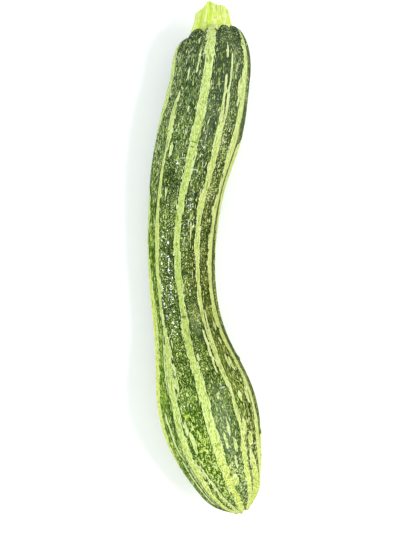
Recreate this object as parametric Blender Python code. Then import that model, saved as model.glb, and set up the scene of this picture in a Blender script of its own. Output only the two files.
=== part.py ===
"""A striped zucchini, as picked: a bent, ribbed fruit with the cut stub of its stem, lying on its side.

Metres, +Z up. The fruit lies along Y with its stem end at +Y, and rests on three small flat spots of its
underside. The origin is under the middle of the whole object, on the surface that it lies on.
"""

import math

import bmesh
import bpy
import numpy as np
from mathutils import Vector

# The fruit's centre line as it lies, from the stem end to the blossom end. Each station gives the place
# along Y, the place along X, the height above the table, and the fruit's mean radius there.
STATIONS = np.array((
    (0.1460, 0.0048, 0.0260, 0.0280),
    (0.1160, 0.0037, 0.0256, 0.0245),
    (0.0820, -0.0022, 0.0257, 0.0260),
    (0.0480, -0.0102, 0.0242, 0.0235),
    (0.0140, -0.0143, 0.0217, 0.0215),
    (-0.0200, -0.0137, 0.0206, 0.0206),
    (-0.0540, -0.0082, 0.0237, 0.0230),
    (-0.0880, 0.0004, 0.0299, 0.0300),
    (-0.1160, 0.0080, 0.0281, 0.0277),
    (-0.1380, 0.0158, 0.0270, 0.0206),
    (-0.1500, 0.0207, 0.0266, 0.0157),
    (-0.1580, 0.0241, 0.0263, 0.0120),
))
SHOULDER_LENGTH = 0.032  # the rounded end under the stem
TIP_LENGTH = 0.018  # the rounded blossom end
SHOULDER_SLANT = 0.0036  # how much further the shoulder reaches on its +X side

# Ten ribs, by their angles round the fruit in degrees: 0 is straight up, and 90 is towards +X.
RIB_ANGLES = np.radians((-152, -110, -68, -39, -3, 30, 60, 90, 129, 168))
RIB_HEIGHT = 0.0005  # from the mean radius to a crest, along the body
LOBE_HEIGHT = 0.0014  # what the ribs gain where they swell round the stem
LOBE_RISES = (0.0006, 0.0006, 0.0006, 0.0009, 0.0024, 0.0009, 0.0006, 0.0008, 0.0006, 0.0006)  # up the stem
LOBE_REACH = 0.012  # how far from the stem end they fade
SHOULDER_DISH = 0.0028  # how far the skin sinks round the stem
DISH_RADIUS = 0.0145
TIP_RIB_HEIGHT = 0.0004  # what the ribs gain at the blossom end
POLE_RADIUS = 0.0150  # the ribs run out inside this radius at both ends

# The blossom scar: a low button in a shallow ring, at the middle of the tip.
SCAR_RADIUS = 0.0030
SCAR_HEIGHT = 0.0012
SCAR_RING_DEPTH = 0.0005

# The stem stub. Its foot is a point on its axis, level with the shoulder that the stem stands on.
STEM_FOOT = Vector((0.0050, 0.1417, 0.0267))
STEM_LEAN = Vector((-0.02, 1.0, 0.05))
STEM_RADIUS = 0.0119
STEM_TAPER = 0.22  # radius lost for each metre of height
STEM_FLARE = 0.0006  # radius gained at the foot
STEM_FLARE_REACH = 0.0015
STEM_SINK = 0.008  # what reaches below the foot, before the fruit's shape is taken out of it
RIDGE_ANGLES = np.radians((-145, -98, -52, -21, 7, 47, 90, 132, 175))
RIDGE_TOPS = (0.0093, 0.0090, 0.0094, 0.0148, 0.0150, 0.0130, 0.0118, 0.0113, 0.0108)
RIDGE_HEIGHT = 0.0005
STEM_DISH = 0.0010  # how far the middle of the cut sinks

JOINT_GAP = 0.0003  # between the stem and the fruit
TABLE_TOP_SIZE = (0.2, 0.5, 0.02)
CREASE_ANGLE = math.radians(60)  # edges sharper than this aren't smoothed over

# The meshes' divisions: round each piece, and along each of its stretches from the stem end.
FRUIT_AROUND = 60
SHOULDER_RINGS = 12
BODY_RINGS = 36
TIP_RINGS = 12
STEM_AROUND = 45
CUT_RINGS = 5
SIDE_RINGS = 12
FOOT_RINGS = 3


def natural_spline(knots, values):
    """The smooth curve through the values at the knots, straight at its two ends, as a function."""
    gaps = np.diff(knots)
    slopes = np.diff(values, axis=0) / gaps[:, None]
    matrix = np.eye(len(knots))
    turns = np.zeros_like(values)
    for i in range(1, len(knots) - 1):
        matrix[i, i - 1:i + 2] = gaps[i - 1], 2 * (gaps[i - 1] + gaps[i]), gaps[i]
        turns[i] = 6 * (slopes[i] - slopes[i - 1])
    bend = np.linalg.solve(matrix, turns)

    def at(place):
        i = int(np.clip(np.searchsorted(knots, place) - 1, 0, len(gaps) - 1))
        gap = gaps[i]
        after = place - knots[i]
        before = knots[i + 1] - place
        return ((bend[i] * before**3 + bend[i + 1] * after**3) / (6 * gap)
                + (values[i] / gap - bend[i] * gap / 6) * before
                + (values[i + 1] / gap - bend[i + 1] * gap / 6) * after)

    return at


centre_line = natural_spline(-STATIONS[:, 0], STATIONS)


def waves(angle, crests):
    """From -1 in a groove to 1 on a crest, for crests at uneven angles round the whole turn."""
    turn = 2 * math.pi
    ends = np.append(crests, crests[0] + turn)
    wrapped = crests[0] + (angle - crests[0]) % turn
    return math.cos(turn * np.interp(wrapped, ends, np.arange(len(ends))))


def rounded_end(share):
    """The radius of a rounded end: 0 at its pole, and 1 from where the end runs into the body."""
    return math.sqrt(1 - (1 - min(share, 1.0)) ** 2)


def fruit_ring_place(ring):
    """How far along Y a ring lies from the stem end. The rings crowd towards both poles."""
    length = STATIONS[0, 0] - STATIONS[-1, 0]
    if ring <= SHOULDER_RINGS:
        return SHOULDER_LENGTH * (1 - math.cos(math.pi / 2 * ring / SHOULDER_RINGS))
    if ring <= SHOULDER_RINGS + BODY_RINGS:
        body = length - SHOULDER_LENGTH - TIP_LENGTH
        return SHOULDER_LENGTH + body * (ring - SHOULDER_RINGS) / BODY_RINGS
    left = SHOULDER_RINGS + BODY_RINGS + TIP_RINGS - ring
    return length - TIP_LENGTH * (1 - math.cos(math.pi / 2 * left / TIP_RINGS))


def fruit_point(ring, angle):
    """A point of the fruit's skin, by its ring from the stem end and its angle from straight up."""
    from_stem_end = fruit_ring_place(ring)
    from_tip = STATIONS[0, 0] - STATIONS[-1, 0] - from_stem_end
    place = from_stem_end - STATIONS[0, 0]
    y, x, z, radius = centre_line(place)
    change = centre_line(place - 0.0005) - centre_line(place + 0.0005)
    towards_stem = Vector(change[[1, 0, 2]]).normalized()
    side = towards_stem.cross(Vector((0, 0, 1))).normalized()
    up = side.cross(towards_stem)

    radius *= rounded_end(from_stem_end / SHOULDER_LENGTH) * rounded_end(from_tip / TIP_LENGTH)
    near_stem = math.exp(-from_stem_end / LOBE_REACH)
    near_tip = math.exp(-from_tip / TIP_LENGTH)
    off_pole = min(radius / POLE_RADIUS, 1.0)
    wave = waves(angle, RIB_ANGLES) * off_pole
    lobe_rise = np.interp(angle, RIB_ANGLES, LOBE_RISES, period=2 * math.pi)
    rise = near_stem * (lobe_rise * wave + SHOULDER_SLANT * math.sin(angle) * off_pole)
    if from_stem_end < SHOULDER_LENGTH:
        rise -= SHOULDER_DISH * math.exp(-(radius / DISH_RADIUS) ** 6)
    if from_tip < TIP_LENGTH:
        rise -= SCAR_HEIGHT * math.exp(-(radius / SCAR_RADIUS) ** 4)
        rise += SCAR_RING_DEPTH * math.exp(-(2 * radius / SCAR_RADIUS - 3) ** 2)

    radius += (RIB_HEIGHT + LOBE_HEIGHT * near_stem + TIP_RIB_HEIGHT * near_tip) * wave
    outward = side * math.sin(angle) + up * math.cos(angle)
    return Vector((x, y, z)) + outward * radius + towards_stem * rise


def stem_point(ring, angle):
    """A point of the stem stub: first the rings of its cut, then of its side, then of its sunken base."""
    rim = np.interp(angle, RIDGE_ANGLES, RIDGE_TOPS, period=2 * math.pi)
    middle = np.mean(RIDGE_TOPS) - STEM_DISH
    if ring <= CUT_RINGS:
        width = ring / CUT_RINGS
        height = middle + (rim - middle) * width**2
    elif ring <= CUT_RINGS + SIDE_RINGS:
        width = 1.0
        height = rim - (rim + STEM_SINK) * (ring - CUT_RINGS) / SIDE_RINGS
    else:
        width = (CUT_RINGS + SIDE_RINGS + FOOT_RINGS - ring) / FOOT_RINGS
        height = -STEM_SINK

    radius = STEM_RADIUS - STEM_TAPER * height + STEM_FLARE * math.exp(-max(height, 0) / STEM_FLARE_REACH)
    radius += RIDGE_HEIGHT * waves(angle, RIDGE_ANGLES)
    axis = STEM_LEAN.normalized()
    side = axis.cross(Vector((0, 0, 1))).normalized()
    outward = side * math.sin(angle) + side.cross(axis) * math.cos(angle)
    return STEM_FOOT + axis * height + outward * (radius * width)


def shaped_ball(name, around, rings, point):
    """A ball whose points are moved to where the piece's own formula puts them, as a mesh."""
    bm = bmesh.new()
    bmesh.ops.create_uvsphere(bm, u_segments=around, v_segments=rings, radius=1.0)
    for vertex in bm.verts:
        ring = round(math.acos(max(-1.0, min(1.0, vertex.co.z))) / math.pi * rings)
        vertex.co = point(ring, math.atan2(vertex.co.x, vertex.co.y))
    bmesh.ops.recalc_face_normals(bm, faces=bm.faces)
    bm.normal_update()
    mesh = bpy.data.meshes.new(name)
    bm.to_mesh(mesh)
    bm.free()
    mesh.shade_smooth()
    mesh.set_sharp_from_angle(angle=CREASE_ANGLE)
    return mesh


def new_collection(name):
    collection = bpy.data.collections.new(name)
    bpy.context.scene.collection.children.link(collection)
    return collection


def add_object(name, mesh, collection, parent=None):
    obj = bpy.data.objects.new(name, mesh)
    obj.parent = parent
    collection.objects.link(obj)
    return obj


def add_material(obj, name, colour, roughness):
    material = bpy.data.materials.new(name)
    material.use_nodes = True
    shader = material.node_tree.nodes["Principled BSDF"]
    shader.inputs["Base Color"].default_value = (*colour, 1.0)
    shader.inputs["Roughness"].default_value = roughness
    shader.inputs["Metallic"].default_value = 0.0
    obj.data.materials.append(material)


def cut(obj, cutter):
    cutter.hide_render = True
    cutter.display_type = 'WIRE'
    boolean = obj.modifiers.new(cutter.name, 'BOOLEAN')
    boolean.operation = 'DIFFERENCE'
    boolean.solver = 'EXACT'
    boolean.object = cutter


def make_table_top(collection):
    """The plane that the fruit lies on, as a slab that flattens the three places that touch it."""
    bm = bmesh.new()
    bmesh.ops.create_cube(bm, size=1.0)
    bmesh.ops.scale(bm, vec=TABLE_TOP_SIZE, verts=bm.verts)
    bmesh.ops.translate(bm, vec=(0, 0, -TABLE_TOP_SIZE[2] / 2), verts=bm.verts)
    mesh = bpy.data.meshes.new("table_top")
    bm.to_mesh(mesh)
    bm.free()
    return add_object("table_top", mesh, collection)


def make_fruit(parts, cutters, holder):
    rings = SHOULDER_RINGS + BODY_RINGS + TIP_RINGS
    mesh = shaped_ball("fruit", FRUIT_AROUND, rings, fruit_point)
    fruit = add_object("fruit", mesh, parts, holder)
    add_material(fruit, "striped_skin", (0.30, 0.38, 0.12), 0.35)
    cut(fruit, make_table_top(cutters))
    return fruit


def make_stem(parts, cutters, holder, fruit):
    """The stub, hollowed at its base by the fruit's own shape grown by the gap between the two."""
    rings = CUT_RINGS + SIDE_RINGS + FOOT_RINGS
    mesh = shaped_ball("stem", STEM_AROUND, rings, stem_point)
    stem = add_object("stem", mesh, parts, holder)
    add_material(stem, "pale_stem", (0.60, 0.74, 0.15), 0.5)

    seat_mesh = fruit.data.copy()
    for vertex in seat_mesh.vertices:
        vertex.co += fruit.data.vertices[vertex.index].normal * JOINT_GAP
    cut(stem, add_object("stem_seat", seat_mesh, cutters, holder))
    return stem


def centre_over_origin(holder, pieces):
    """Moves the holder across the table until the pieces' common box is centred over the origin."""
    points = np.array([vertex.co for piece in pieces for vertex in piece.data.vertices])
    middle = (points.min(axis=0) + points.max(axis=0)) / 2
    holder.location = (-middle[0], -middle[1], 0)


for obj in list(bpy.data.objects):
    bpy.data.objects.remove(obj, do_unlink=True)

parts = new_collection("zucchini")
cutters = new_collection("cutters")
holder = add_object("zucchini_place", None, parts)
fruit = make_fruit(parts, cutters, holder)
stem = make_stem(parts, cutters, holder, fruit)
centre_over_origin(holder, (fruit, stem))
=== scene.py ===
import math

import bpy
import numpy as np
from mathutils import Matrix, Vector


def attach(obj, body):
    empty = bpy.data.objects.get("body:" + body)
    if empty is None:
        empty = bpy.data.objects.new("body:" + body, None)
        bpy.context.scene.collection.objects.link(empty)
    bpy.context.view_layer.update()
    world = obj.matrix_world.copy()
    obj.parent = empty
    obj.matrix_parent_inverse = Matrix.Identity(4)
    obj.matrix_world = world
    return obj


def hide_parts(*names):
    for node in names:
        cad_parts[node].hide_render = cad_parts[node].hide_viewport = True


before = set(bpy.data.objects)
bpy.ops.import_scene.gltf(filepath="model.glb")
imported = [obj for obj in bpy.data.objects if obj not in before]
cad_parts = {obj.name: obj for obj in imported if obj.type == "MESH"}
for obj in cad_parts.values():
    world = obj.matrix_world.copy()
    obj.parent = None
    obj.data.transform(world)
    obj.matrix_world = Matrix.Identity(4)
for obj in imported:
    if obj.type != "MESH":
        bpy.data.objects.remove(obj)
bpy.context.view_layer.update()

# The fruit.
# One grown body of firm flesh under a thin waxy skin, bent and swollen towards its blossom end, with ten
# low ribs that gather into lobes under the stem. It is drawn out ring by ring from the stem end, rounded by
# subdivision, and its ribs, lobes and warts are then raised in the skin.

MM = 0.001
FRUIT_LINE = np.array((  # along Y, across in X, height and mean radius, in mm
    (147.6, 4.7, 26.0, 28.0),
    (117.6, 3.6, 25.6, 24.5),
    (83.6, -2.3, 25.7, 26.0),
    (49.6, -10.3, 24.2, 23.5),
    (15.6, -14.4, 21.7, 21.5),
    (-18.4, -13.8, 20.6, 20.6),
    (-52.4, -8.3, 23.7, 23.0),
    (-86.4, 0.3, 29.9, 30.0),
    (-114.4, 7.9, 28.1, 27.7),
    (-136.4, 15.7, 27.0, 20.6),
    (-148.4, 20.6, 26.6, 15.7),
    (-156.4, 24.0, 26.3, 12.0),
)) * MM
SHOULDER_LENGTH = 32 * MM
TIP_LENGTH = 18 * MM
RIB_ANGLES = np.array((-152, -110, -68, -39, -3, 30, 60, 90, 129, 168))  # 0 is straight up, 90 towards +X
LINE_STEP = 0.5 * MM  # how far apart the line is read to find its direction


def smooth_line(knots, values):
    """The natural cubic curve through values at knots, as a function of an array of places."""
    gaps = np.diff(knots)
    slopes = np.diff(values, axis=0) / gaps[:, None]
    matrix = np.eye(len(knots))
    turns = np.zeros_like(values)
    for i in range(1, len(knots) - 1):
        matrix[i, i - 1:i + 2] = gaps[i - 1], 2 * (gaps[i - 1] + gaps[i]), gaps[i]
        turns[i] = 6 * (slopes[i] - slopes[i - 1])
    bend = np.linalg.solve(matrix, turns)

    def at(place):
        i = np.clip(np.searchsorted(knots, place) - 1, 0, len(gaps) - 1)
        gap = gaps[i][:, None]
        after = (place - knots[i])[:, None]
        before = gap - after
        return ((bend[i] * before**3 + bend[i + 1] * after**3) / (6 * gap)
                + (values[i] / gap - bend[i] * gap / 6) * before
                + (values[i + 1] / gap - bend[i + 1] * gap / 6) * after)

    return at


fruit_line = smooth_line(-FRUIT_LINE[:, 0], FRUIT_LINE)
fruit_start = -FRUIT_LINE[0, 0]
fruit_end = -FRUIT_LINE[-1, 0]


def fruit_frame(place):
    """Centre, direction to the stem, side, up and mean radius of the fruit at an array of places."""
    here = fruit_line(place)
    change = fruit_line(place - LINE_STEP) - fruit_line(place + LINE_STEP)
    to_stem = change[:, [1, 0, 2]]
    to_stem /= np.linalg.norm(to_stem, axis=1)[:, None]
    side = np.cross(to_stem, (0, 0, 1))
    side /= np.linalg.norm(side, axis=1)[:, None]
    up = np.cross(side, to_stem)
    return here[:, [1, 0, 2]], to_stem, side, up, here[:, 3]


def rounded_end(share):
    """The radius of a rounded end, 0 at its pole and 1 where it runs into the body."""
    return np.sqrt(1 - (1 - np.clip(share, 0, 1)) ** 2)


def plain_radius(place, mean):
    return (mean * rounded_end((place - fruit_start) / SHOULDER_LENGTH)
            * rounded_end((fruit_end - place) / TIP_LENGTH))


def get_points(obj):
    points = np.empty(len(obj.data.vertices) * 3)
    obj.data.vertices.foreach_get("co", points)
    return points.reshape(-1, 3)


def set_points(obj, points):
    obj.data.vertices.foreach_set("co", points.ravel())
    obj.data.update()


def store(obj, name, values):
    """Keeps a number or a vector for each point of the mesh, for the material to read."""
    kind = "FLOAT" if values.ndim == 1 else "FLOAT_VECTOR"
    attribute = obj.data.attributes.new(name, kind, "POINT")
    attribute.data.foreach_set("value" if values.ndim == 1 else "vector", values.ravel())


def finish_round(obj, levels):
    """Turns the faces outwards, rounds the piece by subdivision and shades it smooth."""
    bpy.ops.mesh.select_all(action="SELECT")
    bpy.ops.mesh.normals_make_consistent(inside=False)
    bpy.ops.object.mode_set(mode="OBJECT")
    rounding = obj.modifiers.new("rounding", "SUBSURF")
    rounding.levels = levels
    rounding.render_levels = levels
    bpy.ops.object.modifier_apply(modifier=rounding.name)
    bpy.ops.object.shade_smooth()


END_RINGS = 16
BODY_RINGS = 58
RING_POINTS = 56
FIRST_TURN = 0.03  # how far round its end, in radians, the smallest ring lies
quarter_turn = np.linspace(FIRST_TURN, math.pi / 2, END_RINGS)
shoulder_rings = SHOULDER_LENGTH * (1 - np.cos(quarter_turn))
tip_rings = TIP_LENGTH * (1 - np.cos(np.linspace(math.pi / 2, FIRST_TURN, END_RINGS)))
body_rings = np.linspace(fruit_start + SHOULDER_LENGTH, fruit_end - TIP_LENGTH, BODY_RINGS)[1:-1]
rings = np.concatenate((fruit_start + shoulder_rings, body_rings, fruit_end - tip_rings))
centres, _, _, _, mean_radius = fruit_frame(rings)
ring_radius = plain_radius(rings, mean_radius)

bpy.ops.object.select_all(action="DESELECT")
bpy.ops.mesh.primitive_circle_add(
    vertices=RING_POINTS, radius=ring_radius[0], fill_type="NGON",
    location=centres[0], rotation=(math.pi / 2, 0, 0))
fruit = bpy.context.object
fruit.name = "fruit_skin"
bpy.ops.object.transform_apply(location=True, rotation=True, scale=True)
bpy.ops.object.mode_set(mode="EDIT")
bpy.ops.mesh.select_all(action="SELECT")
for i in range(1, len(rings)):
    bpy.ops.mesh.extrude_region_move(TRANSFORM_OT_translate={"value": centres[i] - centres[i - 1]})
    bpy.ops.transform.resize(value=(ring_radius[i] / ring_radius[i - 1],) * 3, center_override=centres[i])
finish_round(fruit, 2)


SEARCH_ROUNDS = 5  # each round brings a point's place on the bent line nearer
SEARCH_PACE = 0.95


def place_on_fruit(points):
    """How far along the fruit's line each point lies, and its angle round it in degrees."""
    place = -points[:, 1]
    for _ in range(SEARCH_ROUNDS):
        centre, to_stem, side, up, _ = fruit_frame(place)
        off = ((points - centre) * to_stem).sum(axis=1)
        place = np.clip(place - off * SEARCH_PACE, fruit_start, fruit_end)
    out = points - centre
    return place, np.degrees(np.arctan2((out * side).sum(axis=1), (out * up).sum(axis=1)))


def round_from(angle, centre):
    """The angle from a centre, in degrees from -180 to 180."""
    return (angle - centre + 180) % 360 - 180


def rib_waves(angle, flatness):
    """1 on the ribs and -1 in the grooves between them. A flatness above 2 broadens the ribs."""
    ends = np.append(RIB_ANGLES, RIB_ANGLES[0] + 360)
    phase = np.interp(RIB_ANGLES[0] + (angle - RIB_ANGLES[0]) % 360, ends, np.arange(len(ends)))
    return 1 - 2 * np.abs(np.sin(math.pi * phase)) ** flatness


LOBE_REACH = 12 * MM  # the length over which the lobes die away from the stem end
LOBE_FLATNESS = 1.5
TIP_REACH = 14 * MM  # the same at the blossom end
TIP_SLANT = 1.0 * MM
POLE_RADIUS = 15 * MM  # inside this radius the ribs fade out at each end
DISH_DEPTH = 2.8 * MM  # the hollow that the stem stands in
DISH_RADIUS = 14.5 * MM
# How high the ribs stand all along the fruit, and how much more at the lobes and at the tip, in mm.
RIB_HEIGHT = 0.5
LOBE_HEIGHT = 1.4
TIP_RIB_HEIGHT = 0.7

place, angle = place_on_fruit(get_points(fruit))
turn = np.radians(angle)
centre, to_stem, side, up, mean_radius = fruit_frame(place)
radius = plain_radius(place, mean_radius)
from_stem_end = place - fruit_start
from_tip = fruit_end - place
near_stem = np.exp(-from_stem_end / LOBE_REACH)
near_tip = np.exp(-from_tip / TIP_REACH)
off_pole = np.minimum(radius / POLE_RADIUS, 1)
waves = rib_waves(angle, 2 + LOBE_FLATNESS * near_stem) * off_pole

# How far the shoulder reaches forward at each rib, and how far each lobe climbs along the stem, in mm.
SHOULDER_REACH = (-2.4, -5.5, -9.0, -2.2, -0.2, 1.8, 3.1, 3.6, 2.8, 0.7)
LOBE_RISES = (0.6, 0.6, 0.6, 0.9, 2.4, 0.9, 0.6, 0.8, 0.6, 0.6)
reach = np.interp(angle, RIB_ANGLES, SHOULDER_REACH, period=360) * MM
lobe_rise = np.interp(angle, RIB_ANGLES, LOBE_RISES, period=360) * MM
rise = near_stem * (lobe_rise * waves + reach * off_pole)
rise += TIP_SLANT * near_tip * np.sin(turn) * off_pole
dish = DISH_DEPTH * np.exp(-(radius / DISH_RADIUS) ** 6)
rise -= np.where(from_stem_end < SHOULDER_LENGTH, dish, 0)

# The blossom scar, a puckered end with nubs and grooves side by side: place across, half width and height
# in mm.
SCAR_NUBS = ((-4.9, 0.9, 1.1), (-3.3, 0.7, -0.5), (-1.4, 1.0, 1.0), (1.1, 0.8, -0.9), (3.2, 0.9, 0.9))
SCAR_HALF_DEPTH = 4 * MM
scar_depth = np.exp(-(radius * np.cos(turn) / SCAR_HALF_DEPTH) ** 2)
scar_depth = np.where(from_tip < TIP_LENGTH, scar_depth, 0)
for across, half_width, height in SCAR_NUBS:
    away = (radius * np.sin(turn) / MM - across) / half_width
    rise -= height * MM * scar_depth * np.exp(-away**2)

rib_heights = RIB_HEIGHT + LOBE_HEIGHT * near_stem + TIP_RIB_HEIGHT * near_tip
skin_radius = radius + rib_heights * MM * waves

# Warts, dents and low swellings: place along Y in mm, angle in degrees, width and height in mm.
BUMPS = (
    (-67.2, 84, 1.7, 1.0), (-101, 84, 1.3, 0.5), (-114.5, 84, 2.2, 0.8), (-129, 86, 1.3, 0.5),
    (-141, 85, 5, -1.0), (-149, 78, 6.5, 1.2), (-153.5, -85, 6, -0.9), (50, -88, 12, 0.5),
    (55, 88, 12, -0.4))
for y, at_angle, width, height in BUMPS:
    along = (place + y * MM) / (width * MM)
    around = np.radians(round_from(angle, at_angle)) * radius / (width * MM)
    skin_radius += height * MM * np.exp(-along**2 - around**2)

outward = side * np.sin(turn)[:, None] + up * np.cos(turn)[:, None]
points = centre + outward * skin_radius[:, None] + to_stem * rise[:, None]
points[:, 2] = np.maximum(points[:, 2], 0)
set_points(fruit, points)

# The stripes, each on its rib, and the thin strands beside them. Each is given as places along the fruit,
# in mm from the stem end, with the angle of its middle and half its width there, in degrees. Where half the
# width is -1, it runs out in a point.
STRIPES = (
    # The middle stripe.
    ((6, -0.5, 8), (17, -2, 7.6), (33, -2.3, 6.6), (45, -2.4, 6.2), (56, -2.4, 6.6), (66, -2.2, 6.5),
     (78, -1.4, 6), (90, -1, 6), (100, -1.8, 5.8), (112, -3.2, 5.4), (123, -4.9, 5.2), (134, -5.9, 5.2),
     (147, -5.4, 5.6), (160, -3, 6), (171, -1.8, 4.7), (182, -2.4, 5.4), (193, -2.2, 5.6),
     (204, -1.8, 5.6), (215, -1.4, 4.6), (226, 0.8, 4.8), (237, 1.6, 5.2), (248, 1.2, 4.8),
     (259, 2.2, 5.4), (270, 1.4, 5.2), (281, 1.6, 5.6), (292, 1.4, 6), (301, 2.4, 7.5), (312, 4, 14)),
    # Left of it: the stripe of the waist, the stripe of the belly, and a strand beside them.
    ((46, -38.5, -1), (50, -38.5, 1.2), (57, -39.6, 2.4), (62, -39.8, 4.2), (68, -39.9, 4.8),
     (79, -39, 3.6), (84, -39.4, 2.8), (90, -40.5, 2.2), (101, -42, 3.2), (112, -41.8, 3.8),
     (123, -42.1, 4.4), (134, -42.2, 5), (145, -42.2, 5), (156, -42, 4.4), (167, -40.6, 5),
     (178, -41.4, 4.2), (186, -40.8, 3)),
    ((184, -38, -1), (190, -38.6, 3), (200, -37.6, 4.4), (211, -37, 4.8), (222, -36, 5), (233, -35.8, 5),
     (244, -36.2, 4.8), (255, -36.6, 4.6), (266, -37.2, 4.8), (277, -36.2, 6.4), (288, -36.8, 6.2),
     (300, -35, 8), (312, -34, 12)),
    ((191, -45, -1), (195, -44.8, 1.4), (215, -44.8, 1.6), (226, -43.6, 1.2), (232, -43, -1)),
    # Right of it: a strand at the shoulder, the stripe, and a strand at either side of it.
    ((20, 31.5, -1), (24, 31.5, 1.2), (38, 31.3, 1.6), (55, 32.3, 2), (62, 31.5, 1.8), (70, 31, 1),
     (75, 31, -1)),
    ((32, 25, -1), (36, 25, 1.3), (50, 25.3, 1.6), (60, 26.8, 2.6), (67, 28.4, 4), (78, 29.8, 4.8),
     (89, 31.4, 4.9), (97, 31.6, 4.6), (104, 30, 4.6), (110, 28.2, 5.2), (119, 27.8, 4.9),
     (130, 27.9, 4.2), (145, 28.3, 4.3), (156, 29.2, 4.2), (168, 30, 4.2), (179, 29.8, 3.8),
     (190, 30, 2.6), (203, 31.2, 2.4), (214, 31.4, 2.8), (225, 32.2, 3), (236, 34.6, 2.6), (247, 35, 2.4),
     (258, 35.6, 3), (268, 33.6, 4.8), (280, 33.8, 5.6), (292, 34.6, 6.4), (302, 36, 8), (312, 36, 14)),
    ((194, 24.6, -1), (198, 24.6, 1.4), (225, 25, 1.3), (229, 26, -1)),
    ((181, 35.8, -1), (185, 36, 1.6), (206, 35.6, 1.8), (214, 34.6, 1.6), (220, 34, -1)),
    # The broad stripe of the right flank.
    ((10, 61, 3), (16, 63.5, 8.6), (27, 62.6, 8.8), (38, 60.8, 9), (49, 61.8, 7.6), (60, 59.4, 7),
     (71, 60, 7), (82, 59.6, 7), (93, 62.2, 6.2), (104, 62.4, 6.2), (115, 61.2, 6.8), (126, 60.8, 6.8),
     (137, 58.8, 6.8), (148, 58, 5.8), (159, 58.4, 5.2), (170, 59.6, 6), (181, 60.6, 6.6), (192, 62.8, 8),
     (203, 64.4, 8), (214, 66, 7.4), (225, 67, 7.2), (236, 68.8, 6.8), (247, 69, 6.6), (258, 67.4, 8),
     (269, 67.6, 9.6), (280, 69, 8.5), (291, 71, 6.5), (302, 72, 8.5), (312, 72, 12)),
    # The stripe at the right edge, and a strand beside it.
    ((66, 88, -1), (73, 84, 8), (80, 84.5, 11), (100, 85, 10), (120, 88, 9), (140, 92, 8), (160, 93, 7),
     (180, 95, 5), (225, 94, 5), (255, 94, 4), (266, 88, 6), (275, 86, 8), (290, 85, 9), (312, 88, 14)),
    ((232, 79, -1), (238, 79, 0.9), (275, 80, 1.1), (282, 80, -1)),
    # Strands of the blossom end.
    ((270, 49, -1), (280, 51, 2.6), (290, 52.5, 6.5), (302, 53, 8), (312, 53, 9)),
    ((266, -28, -1), (272, -28, 1), (280, -27, 1.4), (292, -24, 2), (304, -20, 4), (312, -18, 5)),
    ((266, -46, -1), (271, -46.5, 1.6), (288, -49, 2), (300, -52, 3), (304, -52, -1)),
    # The broad stripe at the left edge, and two strands beside it.
    ((14, -73, 9), (20, -74, 12), (30, -74, 13), (60, -73, 12), (80, -81, 11), (92, -86, 8),
     (102, -87, 8), (112, -80, 14), (125, -79, 14), (140, -79, 12), (160, -75, 13.5), (180, -73, 15),
     (200, -74, 14.5), (220, -74, 14.5), (240, -76, 12.5), (260, -76, 12), (280, -82, 13), (296, -78, 8),
     (306, -72, 8), (312, -66, 14)),
    ((262, -54, -1), (268, -55, 1.2), (280, -57, 1.4), (298, -58, 1.4), (304, -58, -1)),
    ((236, -56.7, -1), (240, -56, 1.8), (262, -52, 1.8), (272, -47, -1)),
    # The four stripes of the underside.
    ((14, 129, 4), (60, 129, 6), (200, 127, 5), (312, 129, 14)),
    ((14, 168, 4), (60, 166, 5), (180, 170, 4), (312, 168, 14)),
    ((14, -152, 4), (60, -152, 6), (160, -149, 5), (312, -152, 14)),
    ((14, -110, 4), (60, -110, 6), (180, -112, 5), (312, -110, 14)),
)

# Pale islands in the dark bands: mm from the stem end, angle in degrees, half length and half width in mm.
ISLANDS = (
    (14, -21, 3, 0.6), (25, -16, 4, 0.7), (34, -18, 3, 0.6), (40, 51, 5, 0.9), (49, 52, 4, 0.8),
    (85.5, -32, 4.5, 1), (202, -27.5, 2.5, 0.6), (209, -32, 6, 1), (227, -27.5, 4, 1.1),
    (218, -29, 4, 0.6), (215, 7, 3, 0.7), (196, 50, 3.5, 0.9), (206, 50, 3, 0.7), (220, 48, 4.5, 0.8),
    (222, 52.5, 4.5, 0.8), (239, 47, 2.5, 1.6), (240, 58, 5, 1.3), (255, 42, 5, 1.7), (265, 49, 5, 2),
    (256, -24.7, 6.5, 1.4), (248, -28, 4, 0.9), (259, 13.5, 5.5, 1), (264, 24, 5, 1.1), (276, 20, 4, 0.8),
    (287, 13, 4, 1.8), (286, -26, 3.5, 0.9), (294, -24, 4, 1.1), (278, 46, 7, 0.8), (252, 20, 5, 0.7),
    (128, 15.5, 5, 0.6), (150, -20, 4, 0.5), (108, -30, 4, 0.6), (274, -27.5, 5, 0.6), (245, -47, 6, 0.5),
    (30, 43, 3, 0.5), (22, 24, 4, 0.5), (36, -30, 4, 0.5))

# Each point's place along the bent fruit, and the width of a degree round it, both in mm.
LINE_POINTS = 2000
along_line = np.linspace(fruit_start, fruit_end, LINE_POINTS)
steps = fruit_frame(along_line)[0]
arc = np.concatenate(([0], np.cumsum(np.linalg.norm(np.diff(steps, axis=0), axis=1))))
along_mm = np.interp(place, along_line, arc) / MM
mm_per_degree = math.pi / 180 * radius / MM


def patches(spots):
    """A soft patch for each spot.

    A spot is mm from the stem end, angle, half length in mm, half width in degrees, and strength.
    """
    total = np.zeros(len(place))
    for at, at_angle, length, width, strength in spots:
        away = ((along_mm - at) / length) ** 2 + (round_from(angle, at_angle) / width) ** 2
        total += strength * np.exp(-away)
    return np.clip(total, 0, 1)


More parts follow.
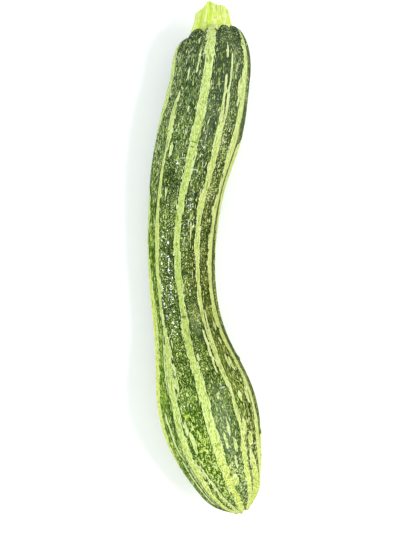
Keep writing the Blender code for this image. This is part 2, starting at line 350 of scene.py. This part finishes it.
# How far inside a pale stripe or island each point lies, in mm, and how ragged that one's edge is.
OUTSIDE = -9.0
STRIPE_OVERRUN = 3
ISLAND_OVERRUN = 2
RAGGED_WIDTH = 1.6  # mm, half the width from which a stripe's edge is fully ragged
LEAST_RAGGED = 0.25
ISLAND_RAGGED = 0.6
stripe_depth = np.full(len(place), OUTSIDE)
raggedness = np.ones(len(place))
for stripe in STRIPES:
    at, middle, half_width = np.array(stripe).T
    half_width = np.interp(along_mm, at, half_width)
    inside = (half_width - np.abs(round_from(angle, np.interp(along_mm, at, middle)))) * mm_per_degree
    past_ends = (along_mm < at[0] - STRIPE_OVERRUN) | (along_mm > at[-1] + STRIPE_OVERRUN)
    inside = np.where(past_ends, OUTSIDE, inside)
    ragged_here = np.clip(half_width * mm_per_degree / RAGGED_WIDTH, LEAST_RAGGED, 1)
    raggedness = np.where(inside > stripe_depth, ragged_here, raggedness)
    stripe_depth = np.maximum(stripe_depth, inside)
for at, at_angle, half_length, half_width in ISLANDS:
    bulge = np.sqrt(np.clip(1 - ((along_mm - at) / half_length) ** 2, 0, 1))
    inside = half_width * bulge - np.abs(round_from(angle, at_angle)) * mm_per_degree
    inside = np.where(np.abs(along_mm - at) > half_length + ISLAND_OVERRUN, OUTSIDE, inside)
    raggedness = np.where(inside > stripe_depth, ISLAND_RAGGED, raggedness)
    stripe_depth = np.maximum(stripe_depth, inside)

# The dark line that parts the two stripes of the right flank, the gaps between the strands of the blossom
# end, and the stripes with rougher edges. The cuts are in mm.
DARK_LINE_CUT = 3
GAP_CUT = 2
dark_line = patches((
    (80, 70, 12, 3.5, 1.0), (100, 72, 12, 3.5, 1.0), (120, 73.5, 11, 4.5, 1.0), (140, 70.5, 12, 4.5, 1.0),
    (160, 70.5, 12, 5, 1.0), (180, 73, 12, 5, 1.0), (208, 80, 16, 6, 0.9), (245, 81, 18, 5, 0.6)))
gaps_between = patches((
    (282, -33, 5, 1.3, 0.8), (290, -32.5, 5, 1.6, 0.9), (298, -31, 5, 2.0, 0.9), (304, -29, 4, 2.6, 0.8),
    (297, -41, 6, 1.6, 0.7), (300, 77, 6, 2.2, 0.8), (292, 64, 5, 1.6, 0.7), (296, -2, 5, 1.2, 0.5)))
stripe_depth -= DARK_LINE_CUT * dark_line
stripe_depth -= GAP_CUT * gaps_between
store(fruit, "stripe_depth", stripe_depth)
raggedness *= 1 + patches(((32, -63, 30, 9, 1.0), (38, 57, 36, 8, 0.8), (40, 67, 30, 5, 0.5)))
store(fruit, "raggedness", raggedness)

# Each point's place as if the fruit were straight, so that the grain follows its length.
straight = np.stack((radius * np.sin(turn), along_mm * MM, radius * np.cos(turn)), axis=1)
store(fruit, "straight_place", straight)

# Where the skin differs from place to place, as spots for patches.
SKIN_PATCHES = {
    # Where the pale specks run together into a net.
    "pale_marbling": (
        (256, -18, 30, 18, 1.0), (292, 0, 22, 90, 1.0), (262, 50, 30, 14, 0.7), (258, 18, 26, 12, 0.8),
        (75, 43, 26, 9, 0.5), (240, 77, 50, 7, 0.7), (28, -52, 22, 12, 0.5), (80, -52, 24, 9, 0.6),
        (250, 115, 50, 50, 0.7), (250, -120, 50, 50, 0.7)),
    # Where the bands are greyer, as if misted over.
    "misty": (
        (20, 18, 26, 14, 1.0), (30, -24, 24, 12, 0.5), (30, 45, 26, 9, 0.6), (60, 14, 20, 9, 0.9),
        (190, 16, 12, 10, 0.8), (242, 18, 12, 9, 0.6), (258, 16, 16, 10, 1.0), (292, 22, 14, 8, 0.5)),
    # Where the specks are drawn out into lengthwise dashes.
    "streaks": (
        (20, 0, 45, 60, 0.65), (85, 16, 45, 12, 0.6), (70, -20, 40, 12, 0.5), (262, 48, 45, 14, 1.0),
        (262, 18, 30, 12, 0.7), (150, -58, 130, 12, 0.9), (128, 15, 14, 8, 0.8), (202, 43, 30, 10, 0.7),
        (250, 115, 60, 40, 0.6), (250, -120, 60, 40, 0.6)),
    # Where pale specks are more frequent.
    "flecks": (
        (125, -24, 75, 14, 1.0), (80, -20, 22, 12, 0.8), (165, 14, 60, 12, 0.5), (215, -20, 22, 14, 0.8),
        (150, 43, 70, 12, 0.45), (85, 45, 20, 10, 0.4), (90, -55, 30, 12, 0.7), (100, 130, 90, 40, 0.7)),
    # Where the bands are a fresher green.
    "fresh_green": (
        (145, -66, 40, 9, 0.4), (205, 46, 26, 8, 0.5), (200, -62, 50, 14, 0.8), (262, -17, 28, 14, 1.0),
        (250, -52, 35, 14, 0.7), (292, 2, 16, 10, 0.8)),
    # Where bands and stripes are yellower. Along the left edge and on the stripe left of the middle this is
    # also painted light: a brighter colour that lifts sides the lamps light less.
    "yellowing_and_painted_light": (
        (200, -73, 52, 14, 1.0), (250, -80, 50, 12, 0.8), (292, 3, 18, 9, 0.6), (145, -41, 50, 6, 0.45)),
    # Where the middle stripe's grain is darker and denser: partly its own grain, partly painted shade that
    # dims the top of the fruit, which the lamps light more than its sides.
    "darker_grain_and_painted_shade": (
        (75, -2, 35, 11, 0.7), (125, -4, 35, 11, 1.0), (160, -3, 30, 11, 1.0), (195, -2, 30, 11, 0.9)),
    # The browner flank.
    "browned": (
        (120, 62, 70, 34, 0.9), (60, 88, 50, 20, 0.6), (200, 58, 50, 34, 0.9), (265, 66, 34, 34, 0.6),
        (100, 20, 70, 14, 0.35), (180, 18, 50, 14, 0.35)),
    # Where rubbed spots glint.
    "shine": (
        (60, -13, 7, 8, 0.7), (66, 30, 8, 7, 0.6), (118, -28, 10, 7, 0.4), (148, -26, 16, 10, 1.0),
        (170, -25, 22, 11, 1.3), (192, -24, 14, 9, 0.9), (103.5, 30, 4, 6, 1.0), (112, 15, 7, 8, 1.0),
        (124, 13, 9, 7, 1.0), (138, 8, 6, 6, 0.8), (165.5, 15, 8, 8, 1.0), (240, -20, 8, 8, 0.2)),
}
for name, spots in SKIN_PATCHES.items():
    store(fruit, name, patches(spots))

# Where the bands are deep green and carry few specks.
QUIET_SPOTS = (
    (58, 79, 12, 9, 0.8), (24, 16, 22, 10, 0.45), (26, -22, 22, 12, 0.22), (28, 43, 22, 8, 0.2),
    (205, 47, 24, 8, 0.42), (262, -54, 30, 9, 0.14), (130, -21, 45, 12, 0.12), (130, 14, 40, 9, 0.12),
    (178, 18, 12, 8, 0.25))
store(fruit, "quiet", np.maximum(dark_line, patches(QUIET_SPOTS)))


LIGHT = 1.42  # what a white surface that faces up gives back under this table's light
SHEEN = 0.004  # what the skin's gloss adds to it


def seen(red, green, blue):
    """A colour as the eye sees it on the lit table, 0 to 255 a channel, as the surface's own colour."""
    def channel(value):  # the screen's curve, undone
        value /= 255
        value = value / 12.92 if value <= 0.04045 else ((value + 0.055) / 1.055) ** 2.4
        return max(value - SHEEN, 0.002) / LIGHT
    return (channel(red), channel(green), channel(blue), 1.0)


class Paint:
    """A material's node tree, with a short call for each kind of node that these finishes need."""

    def __init__(self, name):
        self.material = bpy.data.materials.new(name)
        self.material.use_nodes = True
        self.tree = self.material.node_tree
        self.shader = self.tree.nodes["Principled BSDF"]

    def node(self, kind, inputs, **settings):
        made = self.tree.nodes.new(kind)
        for key, value in settings.items():
            setattr(made, key, value)
        for key, value in inputs.items():
            self.set(made.inputs[key], value)
        return made

    def set(self, socket, value):
        if isinstance(value, bpy.types.NodeSocket):
            self.tree.links.new(value, socket)
        else:
            socket.default_value = value

    def stored(self, name, output="Fac"):
        return self.node("ShaderNodeAttribute", {}, attribute_name=name).outputs[output]

    def noise(self, place, size, stretch, detail, shift=0.0):
        """A grain of a size in mm, stretched lengthwise, from 0 to 1 and mostly near a half."""
        scale = (1 / (size * MM), 1 / (size * stretch * MM), 1 / (size * MM))
        scaled = self.node("ShaderNodeMapping", {
            "Vector": place, "Scale": scale, "Location": (shift,) * 3})
        return self.node("ShaderNodeTexNoise", {
            "Vector": scaled.outputs[0], "Scale": 1.0, "Detail": detail}).outputs[0]

    def fade(self, value, low, high, bottom=0.0, top=1.0):
        return self.node("ShaderNodeMapRange", {
            "Value": value, "From Min": low, "From Max": high, "To Min": bottom, "To Max": top},
            interpolation_type="SMOOTHSTEP").outputs[0]

    def sum(self, operation, first, second):
        return self.node("ShaderNodeMath", {0: first, 1: second}, operation=operation).outputs[0]

    def plus(self, value, extra, amount, middle=0.0):
        """The value with some of another added, counted from that one's middle."""
        offset = extra if middle == 0 else self.sum("SUBTRACT", extra, middle)
        return self.sum("ADD", value, self.sum("MULTIPLY", offset, amount))

    def blend(self, share, first, second):
        return self.node("ShaderNodeMix", {0: share, 2: first, 3: second}).outputs[0]

    def over(self, share, under, cover):
        return self.node("ShaderNodeMix", {0: share, 6: under, 7: cover}, data_type="RGBA").outputs[2]

    def ramp(self, value, stops):
        """A colour that changes with the value, through stops of value and colour."""
        first, last = stops[0][0], stops[-1][0]
        made = self.node("ShaderNodeValToRGB", {"Fac": self.fade(value, first, last)})
        made.inputs["Fac"].links[0].from_node.interpolation_type = "LINEAR"
        elements = made.color_ramp.elements
        elements[0].color = seen(*stops[0][1])
        elements[1].color = seen(*stops[-1][1])
        for at, tone in stops[1:-1]:
            elements.new((at - first) / (last - first)).color = seen(*tone)
        return made.outputs[0]


skin = Paint("striped_skin")
spot = skin.stored("straight_place", "Vector")
depth = skin.stored("stripe_depth")
marbling = skin.stored("pale_marbling")
streaks = skin.stored("streaks")
flecks = skin.stored("flecks")
misty = skin.stored("misty")
yellowing_and_painted_light = skin.stored("yellowing_and_painted_light")
fresh = skin.stored("fresh_green")
mm_along = skin.sum("DIVIDE", skin.node("ShaderNodeSeparateXYZ", {0: spot}).outputs[1], MM)

# The dark bands: a fine net of deep and middle green, greyer at the shoulder and fresher at the belly. The
# greens are given by mm from the stem end.
DEEP_GREENS = (
    (0, (42, 60, 35)), (60, (44, 64, 28)), (120, (38, 57, 17)), (200, (36, 55, 13)), (250, (44, 73, 19)),
    (300, (54, 76, 32)))
MIDDLE_GREENS = (
    (0, (95, 113, 80)), (60, (111, 135, 79)), (120, (96, 119, 55)), (200, (95, 121, 45)),
    (250, (126, 154, 72)), (300, (152, 173, 92)))
MISTY_DEEP_GREENS = ((90, (66, 84, 58)), (230, (92, 114, 74)))
MISTY_MIDDLE_GREENS = ((90, (90, 108, 76)), (230, (142, 164, 112)))
FRESH_DEEP = seen(46, 88, 14)
FRESH_MIDDLE = seen(124, 160, 36)
YELLOW_AND_PAINTED_LIGHT_DEEP = seen(104, 150, 26)
YELLOW_AND_PAINTED_LIGHT_MIDDLE = seen(172, 206, 70)
FINE = 0.6  # mm, the width of the skin's finest grain
deep = skin.over(fresh, skin.ramp(mm_along, DEEP_GREENS), FRESH_DEEP)
middle = skin.over(fresh, skin.ramp(mm_along, MIDDLE_GREENS), FRESH_MIDDLE)
deep = skin.over(misty, deep, skin.ramp(mm_along, MISTY_DEEP_GREENS))
middle = skin.over(misty, middle, skin.ramp(mm_along, MISTY_MIDDLE_GREENS))
# Partly painted light: the yellower, brighter tones also lift the left side, which the lamps light less.
deep = skin.over(skin.sum("MULTIPLY", yellowing_and_painted_light, 0.6), deep, YELLOW_AND_PAINTED_LIGHT_DEEP)
middle = skin.over(yellowing_and_painted_light, middle, YELLOW_AND_PAINTED_LIGHT_MIDDLE)
grain = skin.blend(streaks, skin.noise(spot, FINE, 1.7, 2.0), skin.noise(spot, 0.55, 6.0, 2.0, 21.0))
mottle = skin.noise(spot, 8, 2.0, 2.0, 3.0)
band = skin.over(skin.fade(skin.plus(grain, mottle, 0.25, 0.5), 0.46, 0.55), deep, middle)

# Pale specks and lengthwise dashes in the bands. Where the skin is marbled they run together.
CREAMS = (
    (100, (238, 248, 184)), (165, (234, 246, 148)), (235, (234, 246, 152)), (285, (238, 248, 180)))
LIME = seen(202, 224, 118)
FRESH_LIME = seen(222, 242, 112)
tint = skin.noise(spot, 2.5, 2.0, 1.0, 31.0)
lime = skin.over(skin.fade(tint, 0.4, 0.6), LIME, skin.ramp(mm_along, CREAMS))
lime = skin.over(skin.sum("MULTIPLY", fresh, 0.7), lime, FRESH_LIME)
speckle = skin.plus(skin.noise(spot, FINE, 1.6, 2.0, 7.0), marbling, 0.1)
speckle = skin.plus(skin.plus(speckle, flecks, 0.03), mottle, 0.3, 0.5)
speckle = skin.plus(skin.plus(speckle, streaks, -0.05), misty, -0.025)
dashes = skin.plus(skin.noise(spot, FINE, 8.0, 2.0, 11.0), streaks, 0.09)
band = skin.over(skin.fade(speckle, 0.61, 0.66), band, lime)
band = skin.over(skin.fade(dashes, 0.65, 0.7), band, lime)
blots = skin.plus(skin.plus(skin.noise(spot, 1.2, 2.4, 2.0, 17.0), marbling, 0.075), fresh, 0.045)
blots = skin.plus(blots, misty, -0.05)
band = skin.over(skin.fade(blots, 0.64, 0.7), band, lime)
worms = skin.fade(skin.noise(spot, 1.25, 1.6, 1.0, 15.0), 0.5, 0.45)
band = skin.over(skin.sum("MULTIPLY", worms, skin.fade(marbling, 0.2, 1.0, 0.0, 0.9)), band, deep)

# The pale stripes: yellow-green and finely grained, with dark slivers in them, a paler rim and a dark line
# round them. Their greens are given by mm from the stem end too.
PALE_GREENS = (
    (0, (220, 236, 150)), (25, (224, 240, 158)), (90, (216, 229, 142)), (150, (214, 227, 137)),
    (200, (206, 220, 124)), (245, (230, 246, 150)), (280, (242, 252, 144)), (315, (240, 250, 128)))
QUIET_GREEN = seen(58, 74, 34)
YELLOW_AND_PAINTED_LIGHT_PALE = seen(252, 254, 124)
PALE_GRAIN_GREEN = seen(164, 190, 84)
SLIVER_GREEN = seen(120, 148, 58)
RIM_CREAM = seen(238, 248, 184)
wander = skin.sum("MULTIPLY", skin.sum("SUBTRACT", skin.noise(spot, 1.0, 12.0, 2.0, 5.0), 0.5), 4.4)
wander = skin.plus(wander, skin.noise(spot, 0.7, 2.5, 2.0, 9.0), 2.0, 0.5)
edge = skin.sum("ADD", depth, skin.sum("MULTIPLY", wander, skin.stored("raggedness")))
stripe = skin.fade(edge, -0.15, 0.15)
outline = skin.fade(skin.sum("ABSOLUTE", skin.sum("ADD", edge, 0.4), 0.0), 0.45, 0.1, 0.0, 0.8)
band = skin.over(outline, band, deep)
band = skin.over(skin.stored("quiet"), band, QUIET_GREEN)
# The yellower pale is brighter too, in part painted light on the less lit left side.
pale = skin.over(skin.sum("MULTIPLY", yellowing_and_painted_light, 0.85), skin.ramp(mm_along, PALE_GREENS), YELLOW_AND_PAINTED_LIGHT_PALE)
# Painted shade in part: more dark grain on the middle stripe, where the lamps light the top more.
pale_grain = skin.plus(skin.noise(spot, FINE, 2.4, 2.0, 13.0), skin.stored("darker_grain_and_painted_shade"), -0.055, 0.2)
pale = skin.over(skin.fade(pale_grain, 0.54, 0.4, 0.0, 0.9), pale, PALE_GRAIN_GREEN)
slivers = skin.plus(skin.noise(spot, FINE, 16.0, 1.0, 19.0), marbling, 0.035)
pale = skin.over(skin.fade(slivers, 0.58, 0.66, 0.0, 0.75), pale, SLIVER_GREEN)
pale = skin.over(skin.fade(edge, 0.75, 0.25, 0.0, 0.6), pale, RIM_CREAM)
skin_colour = skin.over(stripe, band, pale)

# One flank is a little browner, its bands more than its stripes.
BROWN_CAST = (1.0, 0.88, 0.86, 1)
browned = skin.sum("MULTIPLY", skin.stored("browned"), skin.fade(stripe, 0.0, 1.0, 1.0, 0.45))
skin_colour = skin.node("ShaderNodeMix", {
    0: browned, 6: skin_colour, 7: BROWN_CAST}, data_type="RGBA", blend_type="MULTIPLY").outputs[2]

# Small marks: mm from the stem end, angle in degrees, half length and half width in mm, and colour. Two
# pale bluish-white strokes are small scratches painted with their glint, a painted highlight.
MARKS = (
    (77.6, -2, 0.45, 1.8, (98, 124, 58)), (80.4, -2.6, 0.4, 1.6, (98, 124, 58)),
    (186, -1.5, 1.1, 1.5, (84, 108, 44)), (139, -6, 1.2, 0.6, (110, 140, 50)),
    (28.5, -5, 1.6, 0.6, (110, 132, 76)), (9, -1.5, 6, 0.45, (100, 122, 66)),
    (24, -7.5, 7, 0.35, (130, 152, 84)), (241.9, -23.7, 0.9, 0.8, (196, 228, 20)),
    (281.5, 10.5, 1.0, 0.9, (206, 184, 96)), (284.5, 12.5, 1.6, 1.3, (238, 240, 180)),
    # The pale bluish-white strokes at 92.7 and 233.5 mm are scratches with a painted highlight on them.
    (56, 28.7, 8, 0.25, (140, 124, 88)), (92.7, 8.7, 0.35, 1.5, (206, 224, 212)),
    (233.5, 25.3, 0.35, 1.7, (200, 218, 200)))
for at, at_angle, half_length, half_width, tone in MARKS:
    mark_radius = float(fruit_frame(np.interp([at * MM], arc, along_line))[4][0])
    mark_turn = math.radians(at_angle)
    middle_place = (mark_radius * math.sin(mark_turn), at * MM, mark_radius * math.cos(mark_turn))
    away = skin.node("ShaderNodeVectorMath", {0: spot, 1: middle_place}, operation="SUBTRACT").outputs[0]
    away = skin.node("ShaderNodeVectorMath", {
        0: away, 1: (half_width * MM, half_length * MM, half_width * MM)}, operation="DIVIDE").outputs[0]
    away = skin.node("ShaderNodeVectorMath", {0: away}, operation="LENGTH").outputs["Value"]
    away = skin.plus(away, grain, 2.5, 0.5)
    skin_colour = skin.over(skin.fade(away, 1.2, 0.8, 0.0, 0.8), skin_colour, seen(*tone))

# The gloss: dull wax nearly all over, and rubbed spots that glint.
skin.set(skin.shader.inputs["Base Color"], skin_colour)
skin.set(skin.shader.inputs["Roughness"], skin.fade(grain, 0.35, 0.65, 0.7, 0.5))
skin.shader.inputs["Specular IOR Level"].default_value = 0.02
relief = skin.plus(skin.sum("MULTIPLY", stripe, 0.4), grain, 1.0)
bump = skin.node("ShaderNodeBump", {"Height": relief, "Distance": 0.2 * MM, "Strength": 0.8})
skin.set(skin.shader.inputs["Normal"], bump.outputs[0])
rubbed = skin.plus(skin.noise(spot, 1.6, 2.0, 1.0, 23.0), skin.stored("shine"), 0.22)
skin.set(skin.shader.inputs["Coat Weight"], skin.fade(rubbed, 0.71, 0.77, 0.02, 1.0))
skin.shader.inputs["Coat Roughness"].default_value = 0.12
dimples = skin.node("ShaderNodeBump", {
    "Height": skin.noise(spot, 2.1, 1.3, 1.0, 29.0), "Distance": 0.6 * MM})
skin.set(skin.shader.inputs["Coat Normal"], dimples.outputs[0])
fruit.data.materials.append(skin.material)
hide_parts("fruit")
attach(fruit, "root")

# The stem.
# The stub of the stalk that the fruit hung from: tough, fibrous and ridged lengthwise. It flares where it
# grows out of the shoulder, and was cut off short in three uneven steps. A round blank is drawn up ring by
# ring, and its sides and end are then shaped to the ridges and the cut.

STEM_FOOT = np.array((4.9, 143.3, 26.7)) * MM
STEM_LEAN = np.array((-0.02, 1.0, 0.05))
BLANK_RADIUS = 12 * MM
BLANK_HEIGHT = 12 * MM
BLANK_SUNK = 5 * MM
BLANK_POINTS = 64
# From ring to ring up the blank's side, in mm, and the size of each ring of its end to the one before.
BLANK_STEPS = (2.5, 1.3, 1.2, 1, 1, 1, 1.2, 1.4, 1.4, 1.4, 1.3, 1.1, 0.7, 0.35, 0.15)
END_SHARES = (0.985, 0.95, 0.93, 0.91, 0.89, 0.86, 0.83, 0.78, 0.7, 0.55, 0.3)
FOOT_RADIUS = 12.8 * MM
WIDEST_RADIUS = 13.5 * MM
TAPER = 0.22
FLARE = 0.7 * MM
FLARE_HEIGHT = 1.6 * MM
CUT_DISH = 0.8 * MM  # how much lower the cut's middle lies than its rim
# Where the cut face starts to show inside its rim, as shares of the radius and of the height.
CUT_EDGE = 0.97
CUT_EDGE_FADE = 0.06
CUT_LEAST_HEIGHT = 0.9
# The cut's height over the foot in mm, by the angle round the stem in degrees.
CUT_ANGLES = np.array((
    -170, -130, -95, -80, -62, -48, -34, -25, -19, -9, 3, 13, 36, 50, 65, 80, 110, 150))
CUT_HEIGHTS = np.array((
    10.6, 9.6, 9.4, 9.8, 10.3, 10.8, 12.8, 14.4, 15.5, 16.5, 14.8, 13.9, 13.5, 13.4, 12.7, 11.5, 11.2,
    10.9)) * MM
# The grooves between the ridges: angle in degrees, depth in mm and half width in degrees.
GROOVES = (
    (-150, 0.9, 7), (-122, 1.0, 7), (-86, 0.9, 6), (-66, 0.4, 3), (-38, 0.8, 7), (-27, 0.3, 2.5),
    (-9, 0.9, 7), (15, 0.5, 3), (23, 0.35, 2.5), (31, 0.5, 3), (64, 0.8, 6), (84, 0.4, 4), (108, 1.0, 7),
    (140, 0.9, 7), (165, 0.6, 5))

stem_axis = STEM_LEAN / np.linalg.norm(STEM_LEAN)
bpy.ops.object.select_all(action="DESELECT")
bpy.ops.mesh.primitive_circle_add(
    vertices=BLANK_POINTS, radius=BLANK_RADIUS, fill_type="NGON", location=(0, 0, -BLANK_SUNK))
stem = bpy.context.object
stem.name = "stem_stub"
bpy.ops.object.transform_apply(location=True, rotation=True, scale=True)
bpy.ops.object.mode_set(mode="EDIT")
bpy.ops.mesh.select_all(action="SELECT")
for step in BLANK_STEPS:
    bpy.ops.mesh.extrude_region_move(TRANSFORM_OT_translate={"value": (0, 0, step * MM)})
for share in END_SHARES:
    bpy.ops.mesh.extrude_region_move(TRANSFORM_OT_translate={"value": (0, 0, 0)})
    bpy.ops.transform.resize(value=(share, share, 1), center_override=(0, 0, BLANK_HEIGHT))
finish_round(stem, 2)

points = get_points(stem)
stem_angle = np.degrees(np.arctan2(points[:, 0], points[:, 1]))
stem_turn = np.radians(stem_angle)
out = np.hypot(points[:, 0], points[:, 1]) / BLANK_RADIUS
up_share = points[:, 2] / BLANK_HEIGHT
groove = np.zeros(len(points))
for at_angle, depth_mm, width in GROOVES:
    groove += depth_mm * MM * np.exp(-(round_from(stem_angle, at_angle) / width) ** 2)
rim = np.interp(stem_angle, CUT_ANGLES, CUT_HEIGHTS, period=360) - 0.5 * groove
cut_middle = CUT_HEIGHTS.mean() - CUT_DISH
cut = cut_middle + (rim - cut_middle) * np.clip(out, 0, 1) ** 2.5
height = np.where(up_share > 0, up_share * cut, points[:, 2])
flare = FLARE * np.exp(-np.maximum(height, 0) / FLARE_HEIGHT)
stem_radius = np.minimum(FOOT_RADIUS - TAPER * height + flare - groove, WIDEST_RADIUS)
stem_side = np.cross(stem_axis, (0, 0, 1))
stem_side /= np.linalg.norm(stem_side)
stem_up = np.cross(stem_side, stem_axis)
outward = stem_side * np.sin(stem_turn)[:, None] + stem_up * np.cos(stem_turn)[:, None]
points = STEM_FOOT + stem_axis * height[:, None] + outward * (out * stem_radius)[:, None]
set_points(stem, points)
bpy.ops.object.select_all(action="DESELECT")
stem.select_set(True)
bpy.context.view_layer.objects.active = stem
bpy.ops.object.mode_set(mode="EDIT")
bpy.ops.mesh.select_all(action="SELECT")
bpy.ops.mesh.normals_make_consistent(inside=False)
bpy.ops.object.mode_set(mode="OBJECT")
store(stem, "groove_depth", groove / MM)
stem_place = (BLANK_RADIUS * np.sin(stem_turn), height, BLANK_RADIUS * np.cos(stem_turn))
store(stem, "stem_place", np.stack(stem_place, axis=1))
on_face = np.clip((CUT_EDGE - out) / CUT_EDGE_FADE, 0, 1) * (up_share > CUT_LEAST_HEIGHT)
store(stem, "on_cut", on_face)

# The stem's finish: matt, pale yellow-green fibres, greener in the grooves, with darker threads and flecks.
STEM_GREEN = seen(222, 240, 84)
STEM_PALE = seen(234, 246, 140)
FIBRE_CREAM = seen(248, 253, 190)
GROOVE_GREEN = seen(210, 238, 46)
THREAD_GREEN = seen(166, 196, 62)
FLECK_GREEN = seen(176, 204, 56)
CUT_CREAM = seen(214, 222, 140)
stalk = Paint("pale_stem")
spot = stalk.stored("stem_place", "Vector")
grooves = stalk.stored("groove_depth")
fibres = stalk.noise(spot, 0.6, 8.0, 3.0)
blotches = stalk.noise(spot, 2.2, 1.5, 2.0, 7.0)
flecks = stalk.noise(spot, 0.8, 1.8, 3.0, 5.0)
threads = stalk.noise(spot, 0.5, 16.0, 1.0, 11.0)
stem_colour = stalk.over(stalk.fade(blotches, 0.4, 0.6), STEM_GREEN, STEM_PALE)
stem_colour = stalk.over(stalk.fade(fibres, 0.45, 0.6, 0.0, 0.8), stem_colour, FIBRE_CREAM)
stem_colour = stalk.over(stalk.fade(grooves, 0.1, 0.9, 0.0, 0.85), stem_colour, GROOVE_GREEN)
stem_colour = stalk.over(stalk.fade(threads, 0.58, 0.64, 0.0, 0.7), stem_colour, THREAD_GREEN)
stem_colour = stalk.over(stalk.fade(flecks, 0.56, 0.64, 0.0, 0.65), stem_colour, FLECK_GREEN)
on_cut = stalk.sum("MULTIPLY", stalk.stored("on_cut"), 0.8)
stem_colour = stalk.over(on_cut, stem_colour, CUT_CREAM)
stalk.set(stalk.shader.inputs["Base Color"], stem_colour)
stalk.shader.inputs["Roughness"].default_value = 0.6
stalk.shader.inputs["Specular IOR Level"].default_value = 0.25
bump = stalk.node("ShaderNodeBump", {"Height": fibres, "Distance": 0.3 * MM, "Strength": 0.6})
stalk.set(stalk.shader.inputs["Normal"], bump.outputs[0])
stem.data.materials.append(stalk.material)
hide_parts("stem")
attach(stem, "root")

# The table, the light and the camera.
# A plain white table under soft light from the left and the right, with a small lamp for the skin's glints.
# The camera looks straight down. They are the stage, and no part of the object.

bpy.ops.object.select_all(action="DESELECT")
bpy.ops.mesh.primitive_plane_add(size=12)
table = bpy.context.object
table.name = "table"
white = Paint("white_table")
white.shader.inputs["Base Color"].default_value = (0.92, 0.92, 0.92, 1)
white.shader.inputs["Roughness"].default_value = 0.9
white.shader.inputs["Specular IOR Level"].default_value = 0.1
table.data.materials.append(white.material)


def add_softbox(name, place, size, power, colour):
    light = bpy.data.lights.new(name, "AREA")
    light.shape = "DISK"
    light.size = size
    light.energy = power
    light.color = colour
    lamp = bpy.data.objects.new(name, light)
    lamp.location = place
    lamp.rotation_euler = (-Vector(place)).to_track_quat("-Z", "Y").to_euler()
    bpy.context.scene.collection.objects.link(lamp)


add_softbox("key_light", (-0.95, -0.05, 0.75), 0.2, 7.5, (0.84, 0.95, 1.0))
add_softbox("fill_light", (0.9, -0.1, 0.8), 0.9, 7.5, (1.0, 0.99, 0.96))
add_softbox("glint_light", (0.45, -0.1, 0.85), 0.12, 2.8, (0.8, 0.94, 1.0))

world = bpy.data.worlds.new("studio")
bpy.context.scene.world = world
world.use_nodes = True
background = world.node_tree.nodes["Background"]
background.inputs[0].default_value = (1, 1, 1, 1)
background.inputs[1].default_value = 0.8

CAMERA_PLACE = (2.14 * MM, -10.66 * MM, 650 * MM)
LENS_LENGTH = 65.06
SENSOR_WIDTH = 36
camera = bpy.data.cameras.new("camera")
camera.lens = LENS_LENGTH
camera.sensor_width = SENSOR_WIDTH
camera_object = bpy.data.objects.new("camera", camera)
camera_object.location = CAMERA_PLACE
bpy.context.scene.collection.objects.link(camera_object)
bpy.context.scene.camera = camera_object
bpy.context.scene.view_settings.view_transform = "Standard"
